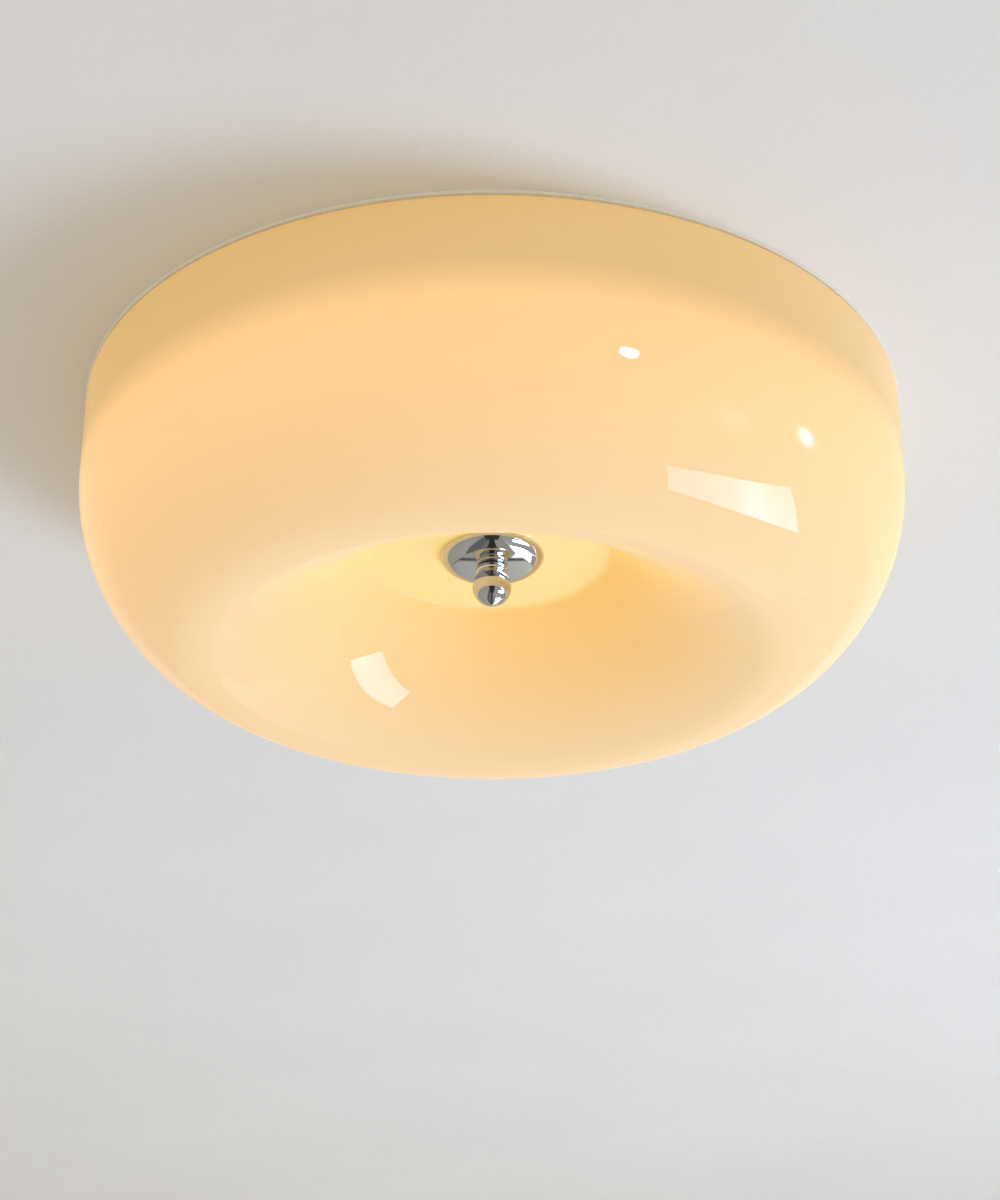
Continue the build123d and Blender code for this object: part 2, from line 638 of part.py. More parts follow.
def earth_lug():
    """A ring tongue with a crimp barrel along X that takes the earth lead."""
    tongue = disc(LUG_RADIUS, pan_floor_top + LUG_SHEET, LUG_SHEET, EARTH_X, EARTH_Y)
    bore = LEAD_RADIUS + THREAD_CLEARANCE
    barrel_radius = lug_lead_z - pan_floor_top
    barrel_middle = Pos(lug_barrel_x - LUG_BARREL_LENGTH / 2, EARTH_Y, lug_lead_z)
    lug = tongue + barrel_middle * Rot(0, 90, 0) * Cylinder(barrel_radius, LUG_BARREL_LENGTH)
    neck_length = LUG_RADIUS
    lug += block(neck_length, LUG_RADIUS, LUG_SHEET, lug_barrel_x, EARTH_Y, pan_floor_top)
    lug -= barrel_middle * Rot(0, 90, 0) * Cylinder(bore, LUG_BARREL_LENGTH)
    return lug - disc(STUD_RADIUS + BOLT_CLEARANCE, pan_floor_top + LUG_SHEET, LUG_SHEET, EARTH_X, EARTH_Y)


def earth_screw():
    seat = pan_floor_top + LUG_SHEET
    tip = pan_under - SCREW_TIP_PROUD
    return pan_head_screw(STUD_RADIUS, STUD_HEAD_RADIUS, STUD_HEAD_HEIGHT, seat, tip, EARTH_X, EARTH_Y)


def lead_grommet():
    place = (GROMMET_X, GROMMET_Y)
    top = pan_floor_top + GROMMET_FLANGE_THICKNESS
    height = PAN_SHEET + 2 * GROMMET_FLANGE_THICKNESS
    grommet = disc(GROMMET_FLANGE_RADIUS, top, GROMMET_FLANGE_THICKNESS, *place)
    grommet += disc(GROMMET_NECK_RADIUS, pan_floor_top, PAN_SHEET, *place)
    grommet += disc(GROMMET_FLANGE_RADIUS, pan_under, GROMMET_FLANGE_THICKNESS, *place)
    return grommet - disc(GROMMET_BORE_RADIUS, top, height, *place)


def lead(points):
    """A round lead along straight runs joined by arcs, each as large as its two runs allow."""
    corners = [Vector(p) for p in points]
    radii = []
    for before, here, after in zip(corners, corners[1:], corners[2:]):
        half_turn = math.radians((here - before).get_angle(after - here) / 2)
        run = min((here - before).length, (after - here).length)
        radii.append(LEAD_BEND_SHARE * run / math.tan(half_turn))
    route = FilletPolyline(*corners, radius=radii)
    tube = sweep(Plane(route @ 0, z_dir=route % 0) * Circle(LEAD_RADIUS), route)
    share = tube.volume / (math.pi * LEAD_RADIUS**2 * route.length)
    print(f"lead: {route.length:.1f} long, least bend {min(radii):.1f}, volume {share:.4f}")
    return tube


def mains_lead(pole, driver_y, lane):
    """A lead from a pole of the terminal block, past the hanging screw, to the driver's input end."""
    x = terminal_pole_x(pole)
    inside = LEAD_SPACING * (2 - lane)
    turn_x = -driver_end_x - LEAD_TURN_ROOM * lane
    points = [
        (x, terminal_front_y - LEAD_ENTRY, terminal_lead_z),
        (x, terminal_front_y + LEAD_STRAIGHT, terminal_lead_z),
        (inside + LEAD_STUD_GAP - stud_x, inside, driver_lead_z),
        (turn_x, (inside + driver_y) / 2, driver_lead_z),
        (turn_x, driver_y, driver_lead_z),
        (LEAD_ENTRY - driver_end_x, driver_y, driver_lead_z),
    ]
    return lead(points)


def live_lead():
    return mains_lead(0, driver_lead_places()[1], 2)


def neutral_lead():
    return mains_lead(1, driver_lead_places()[0], 1)


def earth_lead():
    x = terminal_pole_x(2)
    z = terminal_lead_z
    barrel_end = lug_barrel_x - LUG_BARREL_LENGTH
    points = [
        (x, terminal_front_y - LEAD_ENTRY, z),
        (x, terminal_front_y + LEAD_STRAIGHT, z),
        (x + LEAD_SPACING, EARTH_Y + LEAD_STRAIGHT, z),
        (x + 2 * LEAD_SPACING, EARTH_Y + LEAD_SPACING, lug_lead_z),
        (barrel_end - LUG_RADIUS, EARTH_Y, lug_lead_z),
        (barrel_end + LEAD_ENTRY, EARTH_Y, lug_lead_z),
    ]
    return lead(points)


def output_lead(driver_y, side):
    """A lead from the driver's output end, down through the grommet and across to the board's connector."""
    offset = side * output_lead_offset()
    x = GROMMET_X + offset
    y = GROMMET_Y - offset
    points = [
        (driver_end_x - LEAD_ENTRY, driver_y, driver_lead_z),
        (driver_end_x + LEAD_STRAIGHT, driver_y, driver_lead_z),
        (x, driver_y - LEAD_STRAIGHT, driver_lead_z),
        (x, y, driver_lead_z),
        (x, y, connector_lead_z),
        (connector_front_x() + LEAD_ENTRY - 2 * LEAD_CLEARANCE, y, connector_lead_z),
    ]
    return lead(points)


def positive_lead():
    return output_lead(driver_lead_places()[1], 1)


def negative_lead():
    return output_lead(driver_lead_places()[0], -1)


PIECES = [
    ceiling_bracket,
    hanging_screws,
    stud_washers,
    stud_cap_nuts,
    chassis_pan,
    rim_seal,
    centre_rod,
    rod_washers,
    rod_nuts,
    led_board,
    led_chips,
    led_board_screws,
    board_connector,
    lead_grommet,
    driver_case,
    driver_cover,
    driver_board,
    driver_transformer,
    driver_capacitors,
    driver_screws,
    terminal_block,
    terminal_screws,
    terminal_fixing_screw,
    earth_lug,
    earth_screw,
    live_lead,
    neutral_lead,
    earth_lead,
    positive_lead,
    negative_lead,
    glass_shade,
    shade_bush,
    cap_gasket,
    finial_cap,
    finial,
]

os.makedirs("parts", exist_ok=True)
for piece in PIECES:
    export_step(piece(), f"parts/{piece.__name__}.step")
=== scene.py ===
import math

import bmesh
import bpy
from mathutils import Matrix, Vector


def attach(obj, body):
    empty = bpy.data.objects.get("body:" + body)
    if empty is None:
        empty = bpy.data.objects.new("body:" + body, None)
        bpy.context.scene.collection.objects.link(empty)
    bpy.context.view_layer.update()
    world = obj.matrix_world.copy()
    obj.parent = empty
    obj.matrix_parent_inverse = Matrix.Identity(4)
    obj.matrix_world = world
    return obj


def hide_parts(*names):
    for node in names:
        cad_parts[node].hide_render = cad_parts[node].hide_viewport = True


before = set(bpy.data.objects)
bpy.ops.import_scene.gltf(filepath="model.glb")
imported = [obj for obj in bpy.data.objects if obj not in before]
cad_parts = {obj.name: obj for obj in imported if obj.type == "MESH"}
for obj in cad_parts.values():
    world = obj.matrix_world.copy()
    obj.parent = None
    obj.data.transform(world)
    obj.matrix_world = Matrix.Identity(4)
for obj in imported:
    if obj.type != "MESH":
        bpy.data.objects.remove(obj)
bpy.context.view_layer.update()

# Ceiling bracket: a steel strap with joggled ends, punched and bent, then bright zinc plated.
# Two ceiling screws hold it up through its slots, and all the rest of the light hangs from it.


def make_surface_grain():
    """Shader group: a soft mottle and a fine grain in the piece's own space."""
    group = bpy.data.node_groups.new("surface_grain", "ShaderNodeTree")
    group.interface.new_socket("Scale", in_out="INPUT", socket_type="NodeSocketFloat")
    group.interface.new_socket("Mottle", in_out="OUTPUT", socket_type="NodeSocketFloat")
    group.interface.new_socket("Grain", in_out="OUTPUT", socket_type="NodeSocketFloat")
    grain_fineness = 14.0
    nodes = group.nodes
    inlet = nodes.new("NodeGroupInput")
    outlet = nodes.new("NodeGroupOutput")
    place = nodes.new("ShaderNodeTexCoord")
    mottle = nodes.new("ShaderNodeTexNoise")
    mottle.inputs["Detail"].default_value = 3.0
    finer = nodes.new("ShaderNodeMath")
    finer.operation = "MULTIPLY"
    finer.inputs[1].default_value = grain_fineness
    grain = nodes.new("ShaderNodeTexNoise")
    grain.inputs["Detail"].default_value = 2.0
    group.links.new(place.outputs["Object"], mottle.inputs["Vector"])
    group.links.new(place.outputs["Object"], grain.inputs["Vector"])
    group.links.new(inlet.outputs["Scale"], mottle.inputs["Scale"])
    group.links.new(inlet.outputs["Scale"], finer.inputs[0])
    group.links.new(finer.outputs["Value"], grain.inputs["Scale"])
    group.links.new(mottle.outputs["Fac"], outlet.inputs["Mottle"])
    group.links.new(grain.outputs["Fac"], outlet.inputs["Grain"])
    return group


surface_grain = make_surface_grain()


def colour_ramp(nodes, stops):
    """A ramp node with a colour at each stop, listed from low to high."""
    ramp = nodes.new("ShaderNodeValToRGB")
    elements = ramp.color_ramp.elements
    elements[0].position = stops[0][0]
    elements[0].color = (*stops[0][1], 1.0)
    elements[1].position = stops[-1][0]
    elements[1].color = (*stops[-1][1], 1.0)
    for position, colour in stops[1:-1]:
        elements.new(position).color = (*colour, 1.0)
    return ramp


def value_range(nodes, low=0.0, high=1.0, to_low=0.0, to_high=1.0):
    """A node that spreads the values from low to high over the range from to_low to to_high."""
    spread = nodes.new("ShaderNodeMapRange")
    spread.inputs["From Min"].default_value = low
    spread.inputs["From Max"].default_value = high
    spread.inputs["To Min"].default_value = to_low
    spread.inputs["To Max"].default_value = to_high
    return spread


def grained_finish(name, dark, light, roughness, scale, relief, metallic=0.0):
    """A finish whose colour and roughness follow the mottle, with the fine grain as a relief in metres."""
    finish = bpy.data.materials.new(name)
    finish.use_nodes = True
    nodes = finish.node_tree.nodes
    links = finish.node_tree.links
    shader = nodes["Principled BSDF"]
    shader.inputs["Metallic"].default_value = metallic
    grain = nodes.new("ShaderNodeGroup")
    grain.node_tree = surface_grain
    grain.inputs["Scale"].default_value = scale
    tint = colour_ramp(nodes, [(0.3, dark), (0.7, light)])
    gloss = value_range(nodes, to_low=roughness[0], to_high=roughness[1])
    bump = nodes.new("ShaderNodeBump")
    bump.inputs["Distance"].default_value = relief
    links.new(grain.outputs["Mottle"], tint.inputs["Fac"])
    links.new(grain.outputs["Mottle"], gloss.inputs["Value"])
    links.new(grain.outputs["Grain"], bump.inputs["Height"])
    links.new(tint.outputs["Color"], shader.inputs["Base Color"])
    links.new(gloss.outputs["Result"], shader.inputs["Roughness"])
    links.new(bump.outputs["Normal"], shader.inputs["Normal"])
    return finish


def dress(node, finish):
    """Gives a piece of the frame its finish."""
    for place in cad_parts[node].material_slots:
        place.material = finish


zinc_plate = grained_finish(
    "zinc_plate",
    dark=(0.50, 0.51, 0.52),
    light=(0.62, 0.63, 0.64),
    roughness=(0.22, 0.38),
    scale=160.0,
    relief=0.00002,
    metallic=1.0,
)
dress("ceiling_bracket", zinc_plate)

# Hanging screws: two zinc-plated machine screws, cold headed with a cross recess and rolled threads.
# They hang from the strap's feet and carry the pan on washers and chromed cap nuts under its floor.


def turned(section, steps=48, shape=None, at=(0.0, 0.0)):
    """Points and faces of a closed (radius, height) section, in millimetres, turned about an upright axis."""
    on_axis = 1e-6
    points, rings, faces = [], [], []
    for radius, height in section:
        count = steps if radius > on_axis else 1
        rings.append([len(points) + k % count for k in range(steps)])
        for k in range(count):
            angle = 2 * math.pi * k / steps
            r, z = shape(radius, angle, height) if shape else (radius, height)
            points.append((at[0] + r * math.cos(angle), at[1] + r * math.sin(angle), z))
    for near, far in zip(rings, rings[1:] + rings[:1]):
        for k in range(steps):
            m = (k + 1) % steps
            corners = list(dict.fromkeys([near[k], near[m], far[m], far[k]]))
            if len(corners) > 2:
                faces.append(corners)
    return points, faces


def in_metres(points):
    """The same points in metres instead of millimetres."""
    return [(x / 1000, y / 1000, z / 1000) for x, y, z in points]


def make_piece(name, finish, *forms, crease=30.0):
    """One shown piece from several forms in millimetres, smooth up to the crease angle."""
    form = bmesh.new()
    for points, faces in forms:
        corners = [form.verts.new(point) for point in in_metres(points)]
        for face in faces:
            form.faces.new([corners[k] for k in face])
    bmesh.ops.recalc_face_normals(form, faces=form.faces)
    mesh = bpy.data.meshes.new(name)
    form.to_mesh(mesh)
    form.free()
    mesh.shade_smooth()
    mesh.set_sharp_from_angle(angle=math.radians(crease))
    mesh.materials.append(finish)
    piece = bpy.data.objects.new(name, mesh)
    bpy.context.scene.collection.objects.link(piece)
    return piece


rows_per_turn = 6


def thread_cut(radius, pitch):
    """Shape that cuts a right-hand thread into every turned point on or outside the given radius."""
    depth = 0.55 * pitch
    margin = 0.01

    def cut(r, angle, z):
        if r < radius - margin:
            return r, z
        phase = (z / pitch - angle / (2 * math.pi)) % 1.0
        return r - depth * abs(2 * phase - 1), z

    return cut


def screw_forms(radius, pitch, head_radius, head_height, seat, tip, places):
    """Pan heads with a cross recess, and threaded shanks, that sit on the seat height at each place."""
    rise = 1 if seat > tip else -1
    arm_reach, arm_half_width = 0.58 * head_radius, 0.14 * head_radius
    crown_start, recess_depth = 0.55 * head_height, 0.5 * head_height
    head_steps, shank_steps = 64, 24

    def recess(r, angle, z):
        along = max(abs(math.cos(angle)), abs(math.sin(angle))) * r
        aside = min(abs(math.cos(angle)), abs(math.sin(angle))) * r
        crown = rise * (z - seat) > crown_start
        if crown and aside < arm_half_width and along < arm_reach:
            return r, z - rise * recess_depth
        return r, z

    outline = [(0.0, 1.0), (0.13, 1.0), (0.15, 1.0), (0.3, 0.985), (0.45, 0.965), (0.57, 0.94), (0.6, 0.93)]
    dome = [k * math.pi / 16 for k in range(4, 9)]
    outline += [(math.sin(a), 0.5 + 0.5 * math.cos(a)) for a in dome] + [(1.0, 0.0), (0.0, 0.0)]
    head = [(r * head_radius, seat + rise * head_height * h) for r, h in outline]
    rows = int(abs(seat - tip) / pitch * rows_per_turn)
    shank = [(radius, seat + (tip - seat) * k / rows) for k in range(rows + 1)]
    shank = [(0.0, seat)] + shank + [(0.0, tip)]
    forms = []
    for place in places:
        forms.append(turned(head, head_steps, recess, place))
        forms.append(turned(shank, shank_steps, thread_cut(radius, pitch), place))
    return forms


machine_screw = {"radius": 2.0, "pitch": 0.7, "head_radius": 3.8, "head_height": 2.6}
stud_places = [(-70.0, 0.0), (70.0, 0.0)]
stud_forms = screw_forms(**machine_screw, seat=-6.0, tip=-45.5, places=stud_places)
studs = make_piece("studs", zinc_plate, *stud_forms)
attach(studs, "chassis")
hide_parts("hanging_screws")
dress("stud_washers", zinc_plate)

chrome = grained_finish(
    "chrome",
    dark=(0.60, 0.61, 0.63),
    light=(0.68, 0.69, 0.71),
    roughness=(0.02, 0.045),
    scale=40.0,
    relief=0.0000004,
    metallic=1.0,
)
dress("stud_cap_nuts", chrome)

# Pan: a deep-drawn steel dish, powder coated satin white, with its flange on the ceiling.
# Its floor carries the driver and terminals above and the board below; the coat has a slight orange peel.

powder_coat = grained_finish(
    "powder_coat",
    dark=(0.785, 0.785, 0.765),
    light=(0.81, 0.81, 0.79),
    roughness=(0.34, 0.44),
    scale=60.0,
    relief=0.00003,
)
dress("chassis_pan", powder_coat)


def paint_edge_glow(finish, colour):
    """Paints a warm glow as emission on the outer edge of a finish: painted light standing in for the glass's
    glow falling on it.
    """
    edge_start, edge_end = 0.1995, 0.1998
    nodes = finish.node_tree.nodes
    links = finish.node_tree.links
    shader = nodes["Principled BSDF"]
    shader.inputs["Emission Strength"].default_value = 1.0
    place = nodes.new("ShaderNodeTexCoord")
    level = nodes.new("ShaderNodeVectorMath")
    level.operation = "MULTIPLY"
    level.inputs[1].default_value = (1.0, 1.0, 0.0)
    reach = nodes.new("ShaderNodeVectorMath")
    reach.operation = "LENGTH"
    edge = value_range(nodes, edge_start, edge_end)
    painted_glow = colour_ramp(nodes, [(0.0, (0.0, 0.0, 0.0)), (1.0, colour)])
    links.new(place.outputs["Object"], level.inputs[0])
    links.new(level.outputs["Vector"], reach.inputs[0])
    links.new(reach.outputs["Value"], edge.inputs["Value"])
    links.new(edge.outputs["Result"], painted_glow.inputs["Fac"])
    links.new(painted_glow.outputs["Color"], shader.inputs["Emission Color"])
    finish.cycles.emission_sampling = "NONE"


# Painted glow: the pan flange's outer edge shines warm, standing in for the glass's light on it.
paint_edge_glow(powder_coat, (0.10, 0.075, 0.03))

# Rim seal: a flat ring die cut from soft white foam and glued under the flange.
# The glass rim presses into it, so that no light or dust gets past.

foam = grained_finish(
    "foam",
    dark=(0.70, 0.69, 0.65),
    light=(0.82, 0.81, 0.77),
    roughness=(0.80, 0.95),
    scale=220.0,
    relief=0.0002,
)
dress("rim_seal", foam)
# Painted glow: the seal's outer edge shines orange, standing in for the glass's light on it.
paint_edge_glow(foam, (0.11, 0.05, 0.0))

# Centre rod: an M10 x 1 rod with a rolled thread, zinc plated, with two thin hexagon nuts and washers.
# It is clamped in the pan's floor, and the finial runs up on its lower end.

rod_radius, rod_end_radius, rod_chamfer, rod_pitch = 5.0, 4.3, 0.6, 1.0
rod_top, rod_tip = -32.3, -88.8
rod_rows = int((rod_top - rod_tip) / rod_pitch * rows_per_turn)
thread_start, thread_run = rod_top - rod_chamfer, rod_tip - rod_top + 2 * rod_chamfer
rod_side = [(rod_radius, thread_start + thread_run * k / rod_rows) for k in range(rod_rows + 1)]
rod_section = [(0.0, rod_top), (rod_end_radius, rod_top)] + rod_side
rod_section += [(rod_end_radius, rod_tip), (0.0, rod_tip)]
rod_form = turned(rod_section, steps=36, shape=thread_cut(rod_radius, rod_pitch))
rod = make_piece("threaded_rod", zinc_plate, rod_form, crease=60.0)
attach(rod, "chassis")
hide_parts("centre_rod")


def hexagon_nut(across_flats, bore, height, top):
    """A hexagon nut with both faces chamfered to its corners."""
    side = math.pi / 3
    corner = across_flats / math.sqrt(3)
    bevel = 0.5 * (corner - across_flats / 2)
    face_radius = 0.95 * across_flats / 2
    foot = top - height

    def flats(r, angle, z):
        return min(r, across_flats / 2 / math.cos((angle + side / 2) % side - side / 2)), z

    section = [(bore, top), (face_radius, top), (corner, top - bevel)]
    section += [(corner, foot + bevel), (face_radius, foot), (bore, foot)]
    return turned(section, steps=72, shape=flats)


nut_flats, nut_bore, nut_height = 14.0, 5.05, 3.5
nut_tops = [-34.3, -41.0]
nut_forms = [hexagon_nut(nut_flats, nut_bore, nut_height, top) for top in nut_tops]
nuts = make_piece("thin_nuts", zinc_plate, *nut_forms)
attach(nuts, "chassis")
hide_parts("rod_nuts")
dress("rod_washers", zinc_plate)

# Driver: a two-part case moulded in pale plastic with a fine texture, screwed down by its ears.
# Inside are a green circuit board, a taped transformer and two sleeved capacitors.

case_plastic = grained_finish(
    "case_plastic",
    dark=(0.735, 0.735, 0.705),
    light=(0.765, 0.765, 0.735),
    roughness=(0.45, 0.60),
    scale=300.0,
    relief=0.00003,
)
dress("driver_case", case_plastic)


def slab(length, width, corner, section, at):
    """A rounded rectangle in rings, each as far inside its outline and as high as the section says."""
    least_round, corner_points = 0.4, 7
    ring = 4 * corner_points
    points, faces = [], []
    for inset, height in section:
        radius = max(corner - inset, least_round)
        for quarter in range(4):
            across = (length / 2 - inset - radius) * (1 if quarter in (0, 3) else -1)
            along = (width / 2 - inset - radius) * (1 if quarter in (0, 1) else -1)
            for k in range(corner_points):
                angle = math.pi / 2 * (quarter + k / (corner_points - 1))
                x = at[0] + across + radius * math.cos(angle)
                y = at[1] + along + radius * math.sin(angle)
                points.append((x, y, height))
    for row in range(len(section) - 1):
        for k in range(ring):
            m = (k + 1) % ring
            low, high = ring * row, ring * (row + 1)
            faces.append([low + k, low + m, high + m, high + k])
    faces.append(list(range(ring)))
    faces.append(list(range(ring * (len(section) - 1), ring * len(section))))
    return points, faces


driver_y = 46.0
lid_length, lid_width, lid_corner = 120.0, 42.0, 3.0
lid_wall = [(0.0, -24.8), (0.0, -24.0), (0.25, -23.8), (0.25, -16.3)]
lid_edge = [(0.4, -15.6), (0.9, -15.0), (1.6, -14.8)]
lid_groove = [(5.0, -14.8), (5.5, -15.3), (7.5, -15.3), (8.0, -14.9)]
lid_form = slab(lid_length, lid_width, lid_corner, lid_wall + lid_edge + lid_groove, (0.0, driver_y))
lid = make_piece("driver_lid", case_plastic, lid_form)
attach(lid, "chassis")
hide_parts("driver_cover")

solder_mask = grained_finish(
    "solder_mask",
    dark=(0.010, 0.075, 0.025),
    light=(0.016, 0.11, 0.04),
    roughness=(0.25, 0.40),
    scale=400.0,
    relief=0.00002,
)
dress("driver_board", solder_mask)
coil_tape = grained_finish(
    "coil_tape",
    dark=(0.60, 0.36, 0.03),
    light=(0.74, 0.48, 0.05),
    roughness=(0.35, 0.50),
    scale=200.0,
    relief=0.00002,
)
dress("driver_transformer", coil_tape)
shrunk_sleeve = grained_finish(
    "shrunk_sleeve",
    dark=(0.006, 0.010, 0.04),
    light=(0.012, 0.02, 0.07),
    roughness=(0.25, 0.40),
    scale=300.0,
    relief=0.00001,
)
dress("driver_capacitors", shrunk_sleeve)

tapping_screw = {"radius": 1.5, "pitch": 0.8, "head_radius": 2.8, "head_height": 1.8}
screw_tip = -43.0
ear_x = 66.0
ear_places = [(-ear_x, driver_y), (ear_x, driver_y)]
ear_forms = screw_forms(**tapping_screw, seat=-36.3, tip=screw_tip, places=ear_places)
case_screws = make_piece("case_screws", zinc_plate, *ear_forms)
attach(case_screws, "chassis")
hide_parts("driver_screws")

# Mains terminal: a three-pole block moulded in white nylon, with slotted clamp screws in wells.
# One cross-recessed screw between its poles fixes it to the pan's floor.

nylon = grained_finish(
    "nylon",
    dark=(0.74, 0.72, 0.66),
    light=(0.82, 0.80, 0.74),
    roughness=(0.30, 0.42),
    scale=250.0,
    relief=0.00002,
)
dress("terminal_block", nylon)


def clamp_screw(at):
    """A slotted screw end, seen in its well."""
    radius, top, shoulder, foot = 1.9, -25.8, -26.0, -28.8
    slot_half_width, slot_depth = 0.36, 1.0

    def slot_cut(r, angle, z):
        if abs(r * math.sin(angle)) < slot_half_width and z > foot:
            return r, z - slot_depth
        return r, z

    face_radii = [0.0, 0.3, 0.42, 0.8, 1.2, 1.55, 1.75]
    section = [(r, top) for r in face_radii] + [(radius, shoulder), (radius, foot), (0.0, foot)]
    return turned(section, steps=64, shape=slot_cut, at=at)


terminal_y, pole_pitch, clamp_offset = -46.0, 10.0, 4.6
pole_places = [(-pole_pitch, terminal_y), (0.0, terminal_y), (pole_pitch, terminal_y)]
clamp_places = [(x, y + side * clamp_offset) for x, y in pole_places for side in (-1, 1)]
clamps = make_piece("clamp_screws", zinc_plate, *[clamp_screw(at) for at in clamp_places])
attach(clamps, "chassis")
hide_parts("terminal_screws")

block_places = [(-pole_pitch / 2, terminal_y)]
block_forms = screw_forms(**tapping_screw, seat=-23.8, tip=screw_tip, places=block_places)
block_screw = make_piece("block_screw", zinc_plate, *block_forms)
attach(block_screw, "chassis")
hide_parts("terminal_fixing_screw")

# Earth point: a ring tongue stamped from copper and tin plated, its barrel crimped on the earth lead.
# A machine screw clamps the tongue to the pan's floor.

tin_plate = grained_finish(
    "tin_plate",
    dark=(0.44, 0.43, 0.40),
    light=(0.58, 0.57, 0.54),
    roughness=(0.30, 0.45),
    scale=300.0,
    relief=0.00002,
    metallic=1.0,
)
dress("earth_lug", tin_plate)
earth_places = [(48.0, -30.0)]
earth_forms = screw_forms(**machine_screw, seat=-38.0, tip=screw_tip, places=earth_places)
earth_screw = make_piece("earth_stud", zinc_plate, *earth_forms)
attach(earth_screw, "chassis")
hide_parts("earth_screw")

# Leads: stranded copper in a soft extruded sleeve, coloured by use, pushed into the terminals.
# The earth lead's sleeve is half green and half yellow along its length, and a rubber grommet guards
# the leads that go through the pan's floor.


def sleeve(name, dark, light):
    """Soft extruded insulation with a slight sheen."""
    return grained_finish(name, dark, light, roughness=(0.35, 0.5), scale=300.0, relief=0.00001)


dress("live_lead", sleeve("sleeve_brown", (0.050, 0.018, 0.007), (0.075, 0.028, 0.011)))
dress("neutral_lead", sleeve("sleeve_blue", (0.006, 0.035, 0.24), (0.010, 0.055, 0.32)))
dress("positive_lead", sleeve("sleeve_red", (0.34, 0.006, 0.005), (0.44, 0.010, 0.008)))
dress("negative_lead", sleeve("sleeve_black", (0.004, 0.004, 0.004), (0.012, 0.012, 0.012)))


def striped_sleeve():
    """Yellow where the sleeve faces up and green where it faces down, so the colours run along the lead."""
    green, yellow = (0.04, 0.24, 0.02), (0.72, 0.56, 0.03)
    finish = sleeve("sleeve_striped", (0.03, 0.20, 0.015), (0.05, 0.26, 0.02))
    nodes = finish.node_tree.nodes
    links = finish.node_tree.links
    place = nodes.new("ShaderNodeTexCoord")
    split = nodes.new("ShaderNodeSeparateXYZ")
    shift = value_range(nodes, low=-1.0)
    sides = colour_ramp(nodes, [(0.48, green), (0.52, yellow)])
    links.new(place.outputs["Normal"], split.inputs["Vector"])
    links.new(split.outputs["Z"], shift.inputs["Value"])
    links.new(shift.outputs["Result"], sides.inputs["Fac"])
    links.new(sides.outputs["Color"], nodes["Principled BSDF"].inputs["Base Color"])
    return finish


dress("earth_lead", striped_sleeve())

rubber = grained_finish(
    "rubber",
    dark=(0.008, 0.008, 0.008),
    light=(0.020, 0.020, 0.020),
    roughness=(0.55, 0.75),
    scale=300.0,
    relief=0.00004,
)
dress("lead_grommet", rubber)

# Board: a ring of aluminium under white solder mask, with the light-emitting chips in two rows.
# Six screws hold it flat against the pan's floor, and a two-way connector takes the output leads.

board_mask = grained_finish(
    "board_mask",
    dark=(0.78, 0.78, 0.75),
    light=(0.84, 0.84, 0.82),
    roughness=(0.28, 0.40),
    scale=120.0,
    relief=0.00001,
)
dress("led_board", board_mask)
dress("board_connector", nylon)

chip_rows = [(148.0, 36), (104.0, 24)]
chip_half_width, chip_half_length, past_corner = 1.4, 1.75, 3.0
board_under, well_floor, well_fill, chip_front = -41.6, -42.1, -42.25, -42.4
well_radius, well_mouth, fill_radius = 1.1, 1.2, 1.08


def chip_forms(section):
    """The section turned at the place of each chip of both rows, and cut square along its row."""
    forms = []
    for row_radius, count in chip_rows:
        for k in range(count):
            turn = 2 * math.pi * k / count

            def square(r, angle, z, turn=turn):
                across = abs(math.cos(angle - turn)) / chip_half_width
                along = abs(math.sin(angle - turn)) / chip_half_length
                return min(r, 1 / max(across, along)), z

            at = (row_radius * math.cos(turn), row_radius * math.sin(turn))
            forms.append(turned(section, steps=24, shape=square, at=at))
    return forms


body_section = [(0.0, well_floor), (well_radius, well_floor), (well_mouth, chip_front)]
body_section += [(past_corner, chip_front), (past_corner, board_under), (0.0, board_under)]
chip_bodies = make_piece("chip_bodies", nylon, *chip_forms(body_section))
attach(chip_bodies, "chassis")
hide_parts("led_chips")

phosphor = grained_finish(
    "phosphor",
    dark=(0.86, 0.52, 0.07),
    light=(0.94, 0.62, 0.11),
    roughness=(0.30, 0.42),
    scale=900.0,
    relief=0.00001,
)
phosphor_shader = phosphor.node_tree.nodes["Principled BSDF"]
phosphor_shader.inputs["Emission Color"].default_value = (1.0, 0.72, 0.40, 1.0)
phosphor_shader.inputs["Emission Strength"].default_value = 6.0
phosphor.cycles.emission_sampling = "NONE"
window_section = [(0.0, well_fill), (fill_radius, well_fill)]
window_section += [(fill_radius, well_floor), (0.0, well_floor)]
chip_windows = make_piece("chip_windows", phosphor, *chip_forms(window_section))
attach(chip_windows, "chassis")

screw_circle = 126.0
screw_angles = [math.radians(30 + 60 * k) for k in range(6)]
board_screw_places = [(screw_circle * math.cos(a), screw_circle * math.sin(a)) for a in screw_angles]
board_screw_forms = screw_forms(**tapping_screw, seat=board_under, tip=-35.8, places=board_screw_places)
board_screws = make_piece("board_screws", zinc_plate, *board_screw_forms)
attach(board_screws, "chassis")
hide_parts("led_board_screws")

# Glass shade: an opal glass bowl, mould blown with a dimple in its middle, fire polished and lit inside.
# The wall beside the pan stays dimmer, the belly glows, and the dimple's sides glow deeper orange.


def follow(place, heading, moves, spacing=1.6):
    """Points along a section; a move is a length with no turn, or a radius with its turn in degrees."""
    least_in_turn = 4
    x, z = place
    points = [(x, z)]
    for size, turn in moves:
        length = size * abs(math.radians(turn)) if turn else size
        count = max(least_in_turn if turn else 1, math.ceil(length / spacing))
        half = turn / count / 2
        step = 2 * size * math.sin(math.radians(abs(half))) if turn else size / count
        for _ in range(count):
            x += step * math.cos(math.radians(heading + half))
            z += step * math.sin(math.radians(heading + half))
            heading += 2 * half
            points.append((x, z))
    return points


